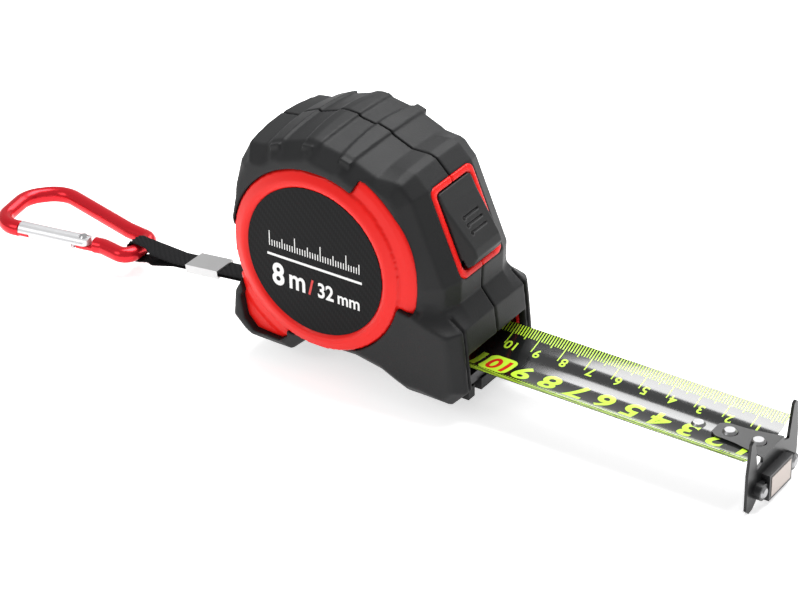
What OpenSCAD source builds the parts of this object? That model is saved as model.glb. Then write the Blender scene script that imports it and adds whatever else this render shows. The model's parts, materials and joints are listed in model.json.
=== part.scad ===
// Pocket tape measure with a rubber-covered case, a sliding lock, a magnetic double hook
// and a wrist lanyard with a snap carabiner.
// Origin: on the plane of the case's feet, below the spool axis, on the parting plane.
// +X is the way the blade comes out, +Y is across the case, +Z is up.

/* [Case] */
// Height of the spool axis above the feet
axis_h = 39.6; // [38:0.2:50]
// Radius of the round back of the case
body_r = 43; // [42:0.5:52]
// Distance from the spool axis to the front face
nose_x = 55.5; // [55:0.5:70]
// Distance from the spool axis to the rear
rear_x = 34.9; // [34:0.1:45]
// Room on each side between the blade's edge and the outside of the case
side_room = 9; // [8.5:0.1:14]
// Thickness of the rubber skin around the rim
grip_t = 2.4; // [1.5:0.1:3]
// Thickness of the rubber skin under the case
sole_t = 1.2; // [0.8:0.1:1.4]
// Thickness of the rubber skin on the sides
side_skin = 3; // [2:0.1:3.4]
// Wall thickness of the hard housing
wall_t = 2; // [1.4:0.1:2.4]
// Width of the sloping shoulder around each side
shoulder = 4.4; // [2:0.1:6]

/* [Label] */
// Radius of the round label
label_r = 26.1; // [20:0.1:28]
// Radius of the red ring around the label
ring_r = 32.4; // [30:0.1:34]
// Radius of the wide sector in front of the ring
sector_r = 37.7; // [35:0.1:39]
// Thickness of the label
label_t = 0.4; // [0.2:0.05:0.8]

/* [Blade] */
// Width of the steel blade, measured along its curve
blade_w = 32; // [25:0.5:40]
// Radius of the blade's hollow
blade_r = 36; // [30:1:60]
// Thickness of the blade
blade_t = 0.15; // [0.1:0.01:0.3]
// Length of blade that stands out of the mouth
reach = 96.5; // [90:0.5:110]
// Length of the blade that moves as one stiff piece
stiff_l = 78; // [60:1:80]
// Outer radius of the wound blade
coil_r = 25.2; // [22:0.1:26]

/* [Spool] */
// Radius of the drum that the blade winds on
drum_r = 17; // [14:0.1:19]
// Radius of the spool shaft
shaft_r = 2.6; // [2:0.1:4]
// Running clearance between the shaft and the drum
shaft_gap = 0.05; // [0.02:0.01:0.1]
// Thickness of the drum's flanges
flange_t = 1; // [0.6:0.1:1.4]
// Turns of the mainspring
spring_turns = 9; // [6:1:12]

/* [Hook] */
// Thickness of the hook plate
hook_t = 1; // [0.6:0.1:1.4]
// Height of the hook's horns above the blade's edges
horn_h = 7; // [4:0.5:10]
// Depth of the hook below the blade's edges
tine_h = 18.9; // [14:0.1:22]
// Free play of the hook along the blade
float_l = 1.2; // [0.5:0.1:1.5]
// Radius of the rivets
rivet_r = 1.5; // [1:0.1:1.8]

/* [Lock] */
// Length of the lock's red frame down the front
lock_l = 31.4; // [28:0.1:36]
// Width of the lock's red frame
lock_w = 24; // [20:0.5:28]
// Width of the frame's band
band_w = 2.5; // [2:0.1:3.5]
// Travel of the lock button
lock_travel = 3; // [2:0.1:3.2]
// Height of the button's thumb rest above the frame
thumb_h = 4.8; // [3:0.1:6]

/* [Lanyard] */
// Width of the webbing
strap_w = 8.5; // [7:0.5:12]
// Thickness of one layer of webbing
strap_t = 1; // [0.8:0.1:1.4]
// Distance from the spool axis to the carabiner's narrow end
eye_x = 93; // [88:1:110]
// Radius of the carabiner's wire
wire_r = 2.8; // [2.5:0.1:3.2]
// Radius of the pin in the rear of the case that holds the strap
pin_r = 1.25; // [1:0.05:1.6]

/* [Hidden] */
$fn = 64;

fit = 0.05;   // clearance of a running fit, on the radius
gap = 0.3;    // clearance between pieces that move past each other
eps = 0.01;   // overlap that keeps joined shapes one solid

// Colours
rubber_c = "#3e3f41";
red_c = "#e52b26";
plastic_c = "#1b1b1c";
steel_c = "#b8b8ba";
hook_c = "#3a3a3b";
lime_c = "#c8e645";

// Widths across the case
case_hw = blade_w / 2 + side_room;         // half the width of the case
skin_y = case_hw - 0.6;                    // outside of the rubber's side face
shell_y = skin_y - side_skin;              // outside of the hard housing's side wall
inner_y = shell_y - wall_t;                // inside of that wall
coil_hw = blade_w / 2;
drum_hw = coil_hw + 0.3 + flange_t;        // half the width of the drum over its flanges
mouth_hw = blade_w / 2 + 0.6;              // half the width of the mouth

// Blade: edges, centre and ends
blade_a = blade_w / 2 / blade_r * 180 / PI;     // half the angle that the blade's curve spans
blade_sag = blade_r * (1 - cos(blade_a));
edge_z = -coil_r - 0.85;                        // height of the blade's edges
belly_z = edge_z - blade_sag;                   // top of the blade along its centre line
blade_end = nose_x + reach;
stiff_x = blade_end - stiff_l;
hook_back = blade_end + 1.3;                    // rear face of the hook plate
mouth_top = edge_z + 5;
floor_z = belly_z - 1.3;                        // top of the floor that the blade slides on

// A point of the case at angle a on the round back, d outside its radius
function rim(a, d) = [(body_r + d) * cos(a), (body_r + d) * sin(a), grip_t];

// Front face that carries the lock: top corner, direction down the face and outward normal
lock_top = [rim(40.7, 4.7).x, rim(40.7, 4.7).y];
lock_a = 23.1;                                  // lean of that face from the vertical
lock_end = lock_top + lock_l * [sin(lock_a), -cos(lock_a)];

// Point of the case s down that face from its top, n out of it
function on_face(s, n) =
    lock_top + s * [sin(lock_a), -cos(lock_a)] + n * [cos(lock_a), sin(lock_a)];

// Outline of the case as [x, z, thickness of the rubber], clockwise from the top rear corner
case_pts = [
    rim(128.8, 2.2), rim(120.6, -1.4), rim(116, -0.5), rim(109.7, -0.3), rim(93.2, 0),
    rim(78.9, -0.4), rim(71.4, -0.6), rim(59, -0.5), rim(52, 2.4), rim(44.6, 4),
    [lock_top.x, lock_top.y, grip_t], [lock_end.x, lock_end.y, grip_t],
    [nose_x - 7.3, edge_z + 20.5, grip_t], [nose_x - 2.3, edge_z + 14.5, grip_t],
    [nose_x - 1.5, edge_z + 8.5, grip_t], [nose_x, -axis_h + 6.3, grip_t],
    [nose_x - 5.9, -axis_h, sole_t], [33, -axis_h, sole_t], [22.8, floor_z - 4.2, sole_t],
    [12.7, floor_z - 2.6, sole_t], [4.2, floor_z - 2.8, sole_t],
    [-6.5, floor_z - 2.6, sole_t], [-13.2, -axis_h, sole_t], [-21, -axis_h, sole_t],
    [-rear_x + 7.7, -axis_h + 2.5, sole_t], [-rear_x + 1.3, -axis_h + 8.8, sole_t],
    [-rear_x + 0.5, -21.1, grip_t], [-rear_x + 4, -11.8, grip_t], [-rear_x + 1.3, -2.8, grip_t],
    [-rear_x, 6.5, grip_t], [-rear_x + 1.7, 15, grip_t], rim(138.9, -0.4)
];

// Moves point i of a clockwise outline inwards, so that its two edges move in by the same amount
function unit(v) = v / norm(v);
function inward(p, i) =
    let (n = len(p), a = p[(i + n - 1) % n], b = p[i], c = p[(i + 1) % n],
         d1 = unit([b.x - a.x, b.y - a.y]), d2 = unit([c.x - b.x, c.y - b.y]),
         n1 = [d1.y, -d1.x], n2 = [d2.y, -d2.x])
    (n1 + n2) / (1 + n1 * n2);
function outline(share, add) =
    [for (i = [0 : len(case_pts) - 1])
        [case_pts[i].x, case_pts[i].y] + (share * case_pts[i].z + add) * inward(case_pts, i)];

outer_pts = outline(0, 0);
shell_pts = outline(1, 0);
inner_pts = [for (i = [0 : len(case_pts) - 1])
    [case_pts[i].x, case_pts[i].y]
    + (case_pts[i].z + (case_pts[i].z == sole_t ? 1.3 : wall_t)) * inward(case_pts, i)];

// Places
screw_at = [[22.5, 30], [-27, 24.4], [-17.5, -axis_h + 4.6], [36.5, -axis_h + 5]];
screw_r = 1.3;
boss_r = 2.6;
strap_at = [-rear_x + 6.3, -axis_h + 10.2];     // the pin in the rear of the case
eye_z = -axis_h + wire_r;                       // height of the carabiner's wire
strap_l = norm([eye_x + strap_at.x, strap_at.y - eye_z]);
strap_a = atan2(strap_at.y - eye_z, eye_x + strap_at.x);
slot_hw = strap_w / 2 + 0.6;

// Brings a shape from the spool axis to the frame of the whole part
module lift() {
    translate([0, 0, axis_h]) children();
}

// Extrudes an outline drawn as (x, z) from y0 to y1
module across(y0, y1) {
    translate([0, y1, 0]) rotate([90, 0, 0]) linear_extrude(y1 - y0) children();
}

// A ring or disc around the Y axis, from a profile drawn as (radius, distance out to -Y)
module turned(angle = 360, start = 0) {
    rotate([90, 0, 0]) rotate([0, 0, start]) rotate_extrude(angle = angle) children();
}

// Cylinder along Y between y0 and y1
module rod(r, y0, y1, x = 0, z = 0) {
    translate([x, y1, z]) rotate([90, 0, 0]) cylinder(r = r, h = y1 - y0);
}

module box(x0, x1, y0, y1, z0, z1) {
    translate([x0, y0, z0]) cube([x1 - x0, y1 - y0, z1 - z0]);
}

// Frame of the lock: x runs down the face, z stands out of it
module on_lock() {
    translate([lock_top.x, 0, lock_top.y]) rotate([0, 90 - lock_a, 0]) children();
}

module lock_box(s0, s1, hw, n0, n1) {
    on_lock() box(s0, s1, -hw, hw, n0, n1);
}

// Side features of the left half: the shapes that show through the rubber, between y0 and y1
module ring_shape(y0, y1) {
    rod(ring_r, y0, y1);
    rotate([0, 12, 0]) turned(75) polygon([[0, -y1], [sector_r, -y1], [sector_r, -y0], [0, -y0]]);
    across(y0, y1) polygon([[-12.2, -26], [-12.2, -32.5], [-15.5, -35.3], [-25.5, -34.7],
        [-29.5, -30.4], [-30.9, -22.5], [-29.7, -20.4], [-31.2, -14.2], [-24, -12]]);
}

// Openings cut through the shell and the rubber of the left half
module strap_slot() {
    box(-rear_x - 5, strap_at.x + 3, -slot_hw, slot_hw, strap_at.y - 5, strap_at.y + 8.5);
}

module mouth_cut() {
    box(nose_x - 14, nose_x + 5, -mouth_hw, mouth_hw, -axis_h + 1.6, mouth_top);
}

module screw_holes(r, y0, y1) {
    for (p = screw_at) rod(r, y0, y1, p.x, p.y);
}

// Hard housing half, drawn on the -Y side
module housing_half() {
    ring_top = case_hw;
    difference() {
        union() {
            difference() {
                across(-shell_y, 0) polygon(shell_pts);
                across(-inner_y, 1) polygon(inner_pts);
            }
            intersection() {
                union() {
                    screw_holes(boss_r, -shell_y, 0);
                    rod(6, -shell_y, -drum_hw - 0.8);
                    rod(pin_r + 2, -shell_y, -slot_hw, strap_at.x, strap_at.y);
                }
                across(-shell_y, 0) polygon(shell_pts);
            }
            // lock frame, and the rails behind it that the button's plate slides between
            difference() {
                on_lock() box(0, lock_l, -lock_w / 2, 0, -3, 0);
                on_lock() box(band_w, lock_l - band_w, -lock_w / 2 + band_w, 1, -4, 1);
            }
            on_lock() box(1, lock_l - 1, -lock_w / 2, -lock_w / 2 + 2.2, -6.4, -4.9);
            on_lock() box(1, lock_l - 1, -lock_w / 2, -lock_w / 2 + 1, -6.4, -3);
            // ring, wide sector and rear tab, standing through the rubber
            ring_shape(-skin_y + 1.6, -shell_y + eps);
            turned() polygon([[0, shell_y - eps], [ring_r, shell_y - eps],
                [ring_r, skin_y - 1.4], [ring_r - 1.9, case_hw - 0.7], [ring_r - 4.2, ring_top],
                [label_r + 0.6, ring_top - 0.1], [label_r, case_hw - 0.5],
                [label_r, case_hw - 1], [0, case_hw - 1]]);
        }
        rod(shaft_r, -shell_y + 0.8, 1);
        screw_holes(screw_r - 0.1, -shell_y + 1, 1);
        rod(pin_r, -shell_y + 2, 1, strap_at.x, strap_at.y);
        on_lock() box(1, lock_l - 0.6, -lock_w / 2 + 1, 1, -4.9, -3);
        on_lock() box(1, lock_l - 0.6, -lock_w / 2 + 2.2, 1, -9, -3);
        on_lock() box(band_w, lock_l - band_w, -lock_w / 2 + band_w, 1, -4, 1);
        strap_slot();
        mouth_cut();
    }
}

module housing_left() {
    color(red_c) lift() housing_half();
}

// The right half takes the screws from outside, so its holes go right through
module housing_right() {
    color(red_c) lift() difference() {
        mirror([0, 1, 0]) housing_half();
        screw_holes(screw_r + 0.1, -1, skin_y);
        screw_holes(boss_r + 0.1, shell_y - 1.2, skin_y);
    }
}

// Rubber skin of one half, drawn on the -Y side
module grip_half() {
    difference() {
        union() {
            across(-skin_y + shoulder, 0) polygon(outer_pts);
            translate([0, -skin_y + shoulder, 0]) rotate([90, 0, 0])
                linear_extrude(shoulder, scale = 1 - 0.75 * shoulder / body_r) polygon(outer_pts);
        }
        across(-shell_y, 1) polygon(shell_pts);
        ring_shape(-skin_y - 1, -shell_y + 1);
        lock_box(0, lock_l, lock_w / 2, -4, 2);
        strap_slot();
        mouth_cut();
    }
}

module grip_left() {
    color(rubber_c) lift() grip_half();
}

module grip_right() {
    color(rubber_c) lift() difference() {
        mirror([0, 1, 0]) grip_half();
        screw_holes(boss_r + 0.3, inner_y, case_hw);
    }
}

module label_disc() {
    rod(label_r, -case_hw + 1 - label_t, -case_hw + 1);
}

module label_left() {
    color(plastic_c) lift() label_disc();
}

module label_right() {
    color(plastic_c) lift() mirror([0, 1, 0]) label_disc();
}

// Fixed shaft, slotted across its middle for the mainspring's inner end
module spool_shaft() {
    half = shell_y - 0.8;
    color(steel_c) lift() difference() {
        rod(shaft_r, -half, half);
        box(-0.4, 0.4, -coil_hw + 1, coil_hw - 1, -shaft_r - 1, shaft_r / 2);
    }
}

module spool_washers() {
    color("ivory") lift() for (side = [-1, 1])
        translate([0, side * (drum_hw + 0.45), 0]) difference() {
            rod(5, -0.3, 0.3);
            rod(shaft_r + fit, -1, 1);
        }
}

// Self-tapping screws, driven in from the right side
module case_screws() {
    head_y = shell_y - 1.2;
    color(plastic_c) lift() for (p = screw_at) difference() {
        union() {
            rod(screw_r - 0.1, -shell_y + 3, head_y, p.x, p.y);
            rod(boss_r - 0.2, head_y, head_y + 1.8, p.x, p.y);
        }
        for (a = [0, 90]) translate([p.x, head_y + 1.8, p.y]) rotate([0, a, 0])
            box(-1.6, 1.6, -1, 1, -0.3, 0.3);
    }
}

module strap_pin() {
    half = shell_y - 2;
    color(steel_c) lift() rod(pin_r, -half, half, strap_at.x, strap_at.y);
}

// Slide bed under the blade, inside the mouth
module mouth_guide() {
    color(plastic_c) lift() difference() {
        union() {
            box(nose_x - 13.8, nose_x - 2.4, -mouth_hw, mouth_hw, floor_z - 3, floor_z + 0.6);
            for (side = [-1, 1]) translate([0, side * (mouth_hw - 1.2), 0])
                box(nose_x - 13.8, nose_x - 3.4, -1.2, 1.2, floor_z, edge_z - 2.2);
        }
        // the belly of the blade and its rivets pass over this groove
        translate([0, 0, belly_z + blade_r]) rotate([0, 90, 0])
            cylinder(r = blade_r + 0.75, h = nose_x + 10, $fn = 96);
        box(nose_x - 20, nose_x + 1, -3, 3, floor_z, floor_z + 2);
    }
}

// Soft buffer on the front, below the blade, that the hook comes back against
module hook_bumper() {
    color(rubber_c) lift() difference() {
        box(nose_x - 13.8, nose_x - 1.6, -mouth_hw, mouth_hw, -axis_h + 1.6, floor_z - 3);
        for (side = [-1, 1]) box(nose_x - 6, nose_x + 1, side * 11 - 2, side * 11 + 2,
            -axis_h + 1, floor_z);
    }
}

// Bent leaf that clicks into the lock button's plate
module detent_spring() {
    color(steel_c) lift() on_lock() translate([0, lock_w / 2 - 6.8, 0]) across(0, 5) polygon([
        [5, -5.7], [9, -5.7], [12, -5.1], [15, -5.7], [19, -5.7],
        [19, -5.3], [15.2, -5.3], [12, -4.7], [8.8, -5.3], [5, -5.3]]);
}

// Drum with one flange, open on the +Y side for the mainspring
module drum() {
    color(plastic_c) lift() difference() {
        union() {
            rod(drum_r, -drum_hw, drum_hw - flange_t - gap);
            rod(coil_r + 0.6, -drum_hw, -drum_hw + flange_t);
        }
        rod(drum_r - 1.4, -drum_hw + flange_t, drum_hw + 1);
        rod(shaft_r + shaft_gap, -case_hw, case_hw);
    }
}

module drum_cover() {
    color(plastic_c) lift() difference() {
        union() {
            rod(coil_r + 0.6, drum_hw - flange_t, drum_hw);
            rod(drum_r - 1.45, drum_hw - flange_t - 2, drum_hw);
        }
        rod(drum_r - 3, drum_hw - flange_t - 3, drum_hw - flange_t);
        rod(shaft_r + shaft_gap, 0, case_hw);
    }
}

module tape_coil() {
    color(lime_c) lift() difference() {
        rod(coil_r, -coil_hw, coil_hw);
        rod(drum_r, -case_hw, case_hw);
    }
}

// Flat spiral that pulls the blade in
module mainspring() {
    leaf_t = 0.35;
    in_r = shaft_r + 1.6;
    pitch = (drum_r - 1.9 - leaf_t - in_r) / spring_turns;
    steps = 20 * spring_turns;
    arm = [for (i = [0 : steps]) [18 * i, in_r + pitch * i / 20]];
    color(steel_c) lift() across(-coil_hw + 2, coil_hw - 2) polygon(concat(
        [for (p = arm) p[1] * [cos(p[0]), sin(p[0])]],
        [for (i = [steps : -1 : 0]) (arm[i][1] + leaf_t) * [cos(arm[i][0]), sin(arm[i][0])]]));
}

// Thumb button: a plate behind the frame and a raised wedge in its window
module lock_button() {
    plate_s = lock_l - 1.2 - lock_travel;
    wedge_hw = lock_w / 2 - band_w - 0.3;
    top_s = band_w + 0.3;
    end_s = lock_l - band_w - 0.3 - lock_travel;
    color(rubber_c) lift() difference() {
        union() {
            lock_box(1.4, plate_s, lock_w / 2 - 1.2, -4.6, -3.1);
            difference() {
                on_lock() across(-wedge_hw, wedge_hw) polygon([
                    [top_s, -3.2], [top_s, 0.5], [end_s - 2.2, thumb_h],
                    [end_s - 0.6, thumb_h - 1.6], [end_s, 0], [end_s, -3.2]]);
                for (side = [-1, 1]) on_lock() translate([0, side * wedge_hw, 0.9])
                    rotate([-side * 62, 0, 0]) box(0, lock_l, -8, 8, 0, 8);
            }
        }
        for (i = [0 : 2]) on_lock() translate([11 + 3.4 * i, 0, 0.5 + (thumb_h - 0.5)
            * (11 + 3.4 * i - top_s) / (end_s - 2.2 - top_s)])
            box(-0.4, 0.4, -6, 6, -0.3, 2);
    }
}

// Arm of the lock that comes down on the blade in the mouth
module lock_tongue() {
    tip_x = nose_x - 9;
    color(plastic_c) lift() union() {
        lock_box(17, 20, 4, -9, -4.6);
        across(-5, 5) polygon([
            on_face(17.6, -10.2), on_face(20, -7.1), [tip_x - 5, edge_z + 21],
            [tip_x - 0.5, edge_z + 12], [tip_x + 1, edge_z + 2], [tip_x + 0.5, edge_z],
            [tip_x - 2, edge_z], [tip_x - 4, edge_z + 10], [tip_x - 9.5, edge_z + 20]]);
    }
}

// Curved section of the blade, between two distances along X
module blade_piece(x0, x1) {
    translate([x0, 0, belly_z + blade_r]) rotate([90, 0, 90]) linear_extrude(x1 - x0)
        intersection() {
            difference() {
                circle(r = blade_r + blade_t, $fn = 256);
                circle(r = blade_r, $fn = 256);
            }
            polygon([[0, 0], 2 * blade_r * [-sin(blade_a), -cos(blade_a)],
                2 * blade_r * [sin(blade_a), -cos(blade_a)]]);
        }
}

rivet_x = [blade_end - 24, blade_end - 13, blade_end - 3];

module blade_strip() {
    color(lime_c) lift() difference() {
        blade_piece(stiff_x, blade_end);
        for (x = rivet_x) translate([x, 0, belly_z - 2]) cylinder(r = rivet_r, h = 4);
    }
}

// Free blade between the coil and the stiff length, shown at full reach
module blade_lead() {
    color(lime_c) lift() blade_piece(8, stiff_x);
}

module blade_rivets() {
    color(steel_c) lift() for (x = rivet_x) {
        top = x == rivet_x[0] ? belly_z : belly_z + hook_t + fit;
        translate([x, 0, belly_z - blade_t - 0.5]) cylinder(r = rivet_r, h = top - belly_z + 1);
        translate([x, 0, belly_z - blade_t - 0.5]) cylinder(r = rivet_r + 0.6, h = 0.5);
        translate([x, 0, top + 0.02]) cylinder(r1 = rivet_r + 0.9, r2 = rivet_r + 0.2, h = 0.8);
    }
}

// Steel hook: a plate across the end of the blade and a tongue lying in its hollow
module hook_plate() {
    hw = blade_w / 2 + 0.4;
    low = edge_z - tine_h;
    tongue_z = belly_z + 0.02;
    color(hook_c) lift() difference() {
        union() {
            translate([hook_back, 0, 0]) rotate([90, 0, 90]) linear_extrude(hook_t) polygon([
                [-hw + 1.4, edge_z + horn_h - 0.8], [-hw + 2.6, edge_z + horn_h],
                [-hw + 3.8, edge_z + horn_h - 0.8], [-hw + 6, belly_z - 1.6], [-7, belly_z - 0.6],
                [-7, belly_z + hook_t], [7, belly_z + hook_t], [7, belly_z - 0.6],
                [hw - 6, belly_z - 1.6], [hw - 3.8, edge_z + horn_h - 0.8],
                [hw - 2.6, edge_z + horn_h], [hw - 1.4, edge_z + horn_h - 0.8],
                [hw, belly_z - 1], [hw, low + 1.6], [hw - 1.6, low], [hw - 4, low + 0.4],
                [hw - 7, low + 3], [-hw + 7, low + 3], [-hw + 4, low + 0.4],
                [-hw + 1.6, low], [-hw, low + 1.6], [-hw, belly_z - 1]]);
            translate([0, 0, tongue_z]) linear_extrude(hook_t) polygon([
                [blade_end - 18, -2.6], [blade_end - 16, -4.2], [blade_end - 9, -4.6],
                [blade_end - 2, -6], [hook_back + 0.5, -7], [hook_back + 0.5, 7],
                [blade_end - 2, 6], [blade_end - 9, 4.6], [blade_end - 16, 4.2],
                [blade_end - 18, 2.6]]);
        }
        for (x = [rivet_x[1], rivet_x[2]]) translate([0, 0, tongue_z - 1]) {
            for (dx = [0, float_l]) translate([x + dx, 0, 0])
                cylinder(r = rivet_r + 0.1, h = 3);
            box(x, x + float_l, -rivet_r - 0.1, rivet_r + 0.1, 0, 3);
        }
        // underside of the tongue follows the hollow of the blade
        translate([0, 0, belly_z + blade_r]) rotate([0, 90, 0]) difference() {
            cylinder(r = blade_r + 5, h = hook_back, $fn = 256);
            translate([0, 0, -1]) cylinder(r = blade_r - 0.02, h = hook_back + 2, $fn = 256);
        }
        for (side = [-1, 1]) translate([0, side * (hw - 6.4), magnet_z]) rotate([0, 90, 0])
            cylinder(r = 1.3, h = hook_back + 5);
    }
}

magnet_z = edge_z - 12.8;
magnet_face = hook_back + hook_t + 3.2;

// Moulded holder on the front of the hook, with an eye for a rivet at each end
module magnet_holder() {
    front = hook_back + hook_t;
    eye_y = blade_w / 2 - 6;
    color(plastic_c) lift() difference() {
        union() {
            box(front, magnet_face - 0.2, -7.4, 7.4, magnet_z - 4.6, magnet_z + 4.6);
            box(front, front + 1.6, -eye_y, eye_y, magnet_z - 2.6, magnet_z + 2.6);
            for (side = [-1, 1]) translate([front, side * eye_y, magnet_z]) rotate([0, 90, 0])
                cylinder(r = 2.8, h = 2.4);
        }
        box(front - 1, magnet_face + 1, -6.25, 6.25, magnet_z - 3.5, magnet_z + 3.5);
        for (side = [-1, 1]) translate([0, side * eye_y, magnet_z]) rotate([0, 90, 0])
            cylinder(r = 1.3, h = magnet_face + 1);
    }
}

module magnet() {
    color("#d9cfc8") lift()
        box(hook_back + hook_t, magnet_face, -6.25, 6.25, magnet_z - 3.5, magnet_z + 3.5);
}

module magnet_rivets() {
    eye_y = blade_w / 2 - 6;
    front = hook_back + hook_t;
    color(steel_c) lift() for (side = [-1, 1]) translate([0, side * eye_y, magnet_z])
        rotate([0, 90, 0]) {
            translate([0, 0, hook_back - 0.5]) cylinder(r = 1.3, h = hook_t + 3.2);
            translate([0, 0, hook_back - 0.5]) cylinder(r = 2, h = 0.5);
            translate([0, 0, front + 2.4]) cylinder(r1 = 2, r2 = 1.4, h = 0.7);
        }
}

// Frame of the lanyard: x runs from the pin in the case to the carabiner, drawn as (x, z)
module on_strap() {
    translate([strap_at.x, 0, strap_at.y]) rotate([0, 180 - strap_a, 0]) children();
}

// Points on an arc around c, from angle a0 to a1
function arc(c, r, a0, a1, n) =
    [for (i = [0 : n]) let (a = a0 + (a1 - a0) * i / n) c + r * [cos(a), sin(a)]];

// One loop of webbing around the pin and around the carabiner, drawn flat
module strap_loop(grow) {
    pin_loop = pin_r + 0.15 + grow;
    eye_loop = wire_r + 0.25 + grow;
    flat = 0.05 + grow;
    join_s = 4.8 * pin_r;
    polygon(concat(arc([0, 0], pin_loop, 98, 262, 12), [[join_s, -flat], [46, -flat]],
        arc([strap_l, 0], eye_loop, -100, 100, 18), [[46, flat], [join_s, flat]]));
}

// Half the webbing's width where it is pinched between the arms of the carabiner
function pinch(side) = min(strap_w / 2 - eps, side < 0
    ? -wire_pts[2].y - wire_r - 1.6 : wire_pts[3].y - wire_r - 1);

module strap() {
    color(plastic_c) lift() on_strap() difference() {
        across(-strap_w / 2, strap_w / 2) difference() {
            strap_loop(strap_t);
            strap_loop(0);
        }
        rod(wire_r + 0.28, -strap_w, strap_w, strap_l);
        for (side = [-1, 1]) translate([0, 0, -strap_w]) linear_extrude(2 * strap_w)
            polygon([[strap_l - 10, side * (strap_w / 2 + eps)], [strap_l - 4, side * pinch(side)],
                [strap_l + 10, side * pinch(side)], [strap_l + 10, side * strap_w]]);
    }
}

crimp_s = 26.5;
crimp_l = 13.5;
crimp_wall = 0.5;

// Pressed metal sleeve that holds the two layers together
module strap_crimp() {
    in_hw = strap_w / 2;
    in_n = strap_t + 0.05;
    color(steel_c) lift() on_strap() difference() {
        box(crimp_s, crimp_s + crimp_l, -in_hw - crimp_wall, in_hw + crimp_wall,
            -in_n - crimp_wall, in_n + crimp_wall);
        box(crimp_s - 1, crimp_s + crimp_l + 1, -in_hw, in_hw, -in_n, in_n);
    }
}

// Carabiner, drawn flat from the middle of its narrow end: corners of the wire as [x, y, radius]
wire_pts = [[-15.06, -5.19, 0], [-11.5, -4.5, 5], [0, -6.2, 3.8], [0, 8.2, 3.8], [-11, 9.4, 8],
    [-47.5, 18.4, 11], [-56.8, 8.5, 10], [-53.5, -12.1, 8], [-43.9, -10.4, 0]];
gate_dir = unit([wire_pts[0].x - wire_pts[8].x, wire_pts[0].y - wire_pts[8].y]);
gate_a = atan2(gate_dir.y, gate_dir.x);
pivot_back = 4;                                  // from the end of the full wire to the pivot
pivot = [wire_pts[0].x, wire_pts[0].y] - pivot_back * gate_dir;
gate_l = norm(pivot - [wire_pts[8].x, wire_pts[8].y]);
gate_r = wire_r + 0.1;
spring_z = -gate_r / 2;

module on_carabiner() {
    translate([-eye_x, 0, eye_z]) children();
}

// Frame of the gate: the pivot at the origin and x towards the free end
module on_gate() {
    on_carabiner() translate([pivot.x, pivot.y, 0]) rotate([0, 0, gate_a + 180]) children();
}

// Length of the straight that a corner of the wire takes up on each side
function turn(p, i) =
    let (a = unit([p[i].x - p[i - 1].x, p[i].y - p[i - 1].y]),
         b = unit([p[i + 1].x - p[i].x, p[i + 1].y - p[i].y]))
    atan2(a.x * b.y - a.y * b.x, a * b);
function cut_back(p, i) =
    i == 0 || i == len(p) - 1 ? 0 : p[i].z * tan(abs(turn(p, i)) / 2);

// Centre line of the wire: its straights, and each corner as an arc, as [x, y, direction]
function corner(p, i) =
    let (d = unit([p[i].x - p[i - 1].x, p[i].y - p[i - 1].y]),
         a = [p[i].x, p[i].y] - cut_back(p, i) * d, bend = turn(p, i), side = sign(bend),
         centre = a + side * p[i].z * [-d.y, d.x], from = atan2(d.y, d.x),
         n = ceil(abs(bend) / 12))
    [for (k = [0 : n]) let (b = from + bend * k / n)
        [centre.x + side * p[i].z * sin(b), centre.y - side * p[i].z * cos(b), b]];
function centre_line(p) =
    let (last = len(p) - 1, d = unit([p[last].x - p[last - 1].x, p[last].y - p[last - 1].y]),
         corners = [for (i = [1 : last - 1]) each corner(p, i)])
    concat([[p[0].x, p[0].y, atan2(p[1].y - p[0].y, p[1].x - p[0].x)]], corners,
        [[p[last].x, p[last].y, atan2(d.y, d.x)]]);

// Round wire along a path with rounded corners
module wire(p, r) {
    line = centre_line(p);
    sides = 16;
    rings = len(line);
    polyhedron(
        points = [for (c = line) for (j = [0 : sides - 1]) let (b = 360 * j / sides)
            [c.x - r * cos(b) * sin(c.z), c.y + r * cos(b) * cos(c.z), r * sin(b)]],
        faces = concat([[for (j = [0 : sides - 1]) j]],
            [[for (j = [sides - 1 : -1 : 0]) (rings - 1) * sides + j]],
            [for (i = [0 : rings - 2]) for (j = [0 : sides - 1])
                let (k = (j + 1) % sides, a = i * sides, b = a + sides)
                [a + j, b + j, b + k, a + k]]));
}

// Half of a bar's end that lies below the middle, from x0 to x1, a little thinner than the wire
module lower_half(x0, x1) {
    intersection() {
        translate([x0, 0, 0]) rotate([0, 90, 0]) cylinder(r = wire_r - 0.3, h = x1 - x0);
        box(x0 - 1, x1 + 1, -wire_r, wire_r, -wire_r, -0.1);
    }
}

module carabiner_body() {
    color("#c81f30") lift() difference() {
        union() {
            on_carabiner() wire(wire_pts, wire_r);
            on_gate() {
                lower_half(gate_l - 4.1, gate_l + 1);
                intersection() {
                    lower_half(-pivot_back - 1, wire_r);
                    union() {
                        cylinder(r = wire_r, h = 20, center = true);
                        box(-pivot_back - 2, 0, -wire_r - 1, wire_r + 1, -wire_r - 1, 1);
                    }
                }
            }
        }
        on_gate() cylinder(r = 0.9, h = 20, center = true);
    }
}

module gate_pin() {
    color(steel_c) lift() on_gate() {
        translate([0, 0, -wire_r]) cylinder(r = 0.9, h = wire_r + gate_r - 0.2);
        translate([0, 0, gate_r - 0.45]) cylinder(r1 = 1.7, r2 = 1.2, h = 0.6);
    }
}

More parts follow.
